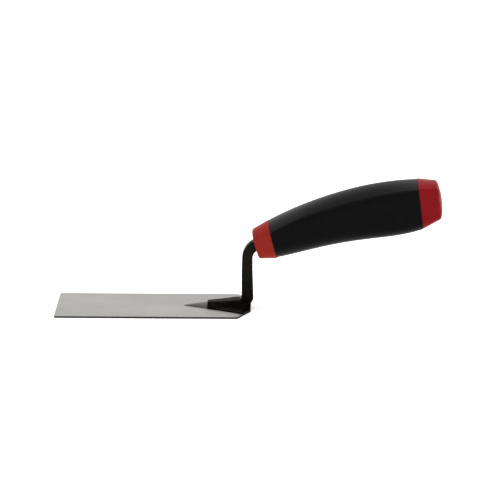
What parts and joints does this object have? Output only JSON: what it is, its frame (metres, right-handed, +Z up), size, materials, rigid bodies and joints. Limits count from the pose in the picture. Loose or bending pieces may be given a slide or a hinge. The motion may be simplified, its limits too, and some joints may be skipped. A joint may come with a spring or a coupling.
{
  "type": "margin trowel",
  "caption": "Hand trowel with a flat rectangular steel blade, forged gooseneck shank and curved soft-grip handle.",
  "frame": {"origin": "centre of the blade's flat working face (its underside)", "axes": "+X along the blade from its free end towards the handle, +Y across the blade, +Z up from the working face to the handle"},
  "size_m": [0.2508, 0.0508, 0.0865],
  "materials": {
    "blade_steel": "ground bare steel, grain along the blade",
    "shank_paint": "semi-gloss black lacquer on forged steel, ground bare at the foot's point",
    "red_plastic": "satin red moulded plastic",
    "grip_rubber": "matt black soft grip with a fine moulded texture",
    "core_plastic": "plain black moulded plastic"
  },
  "bodies": {
    "root": {"blade": "blade_steel", "shank": "shank_paint", "front_collar": "red_plastic", "handle_core": "core_plastic", "grip": "grip_rubber", "butt_cap": "red_plastic"}
  },
  "joints": []
}
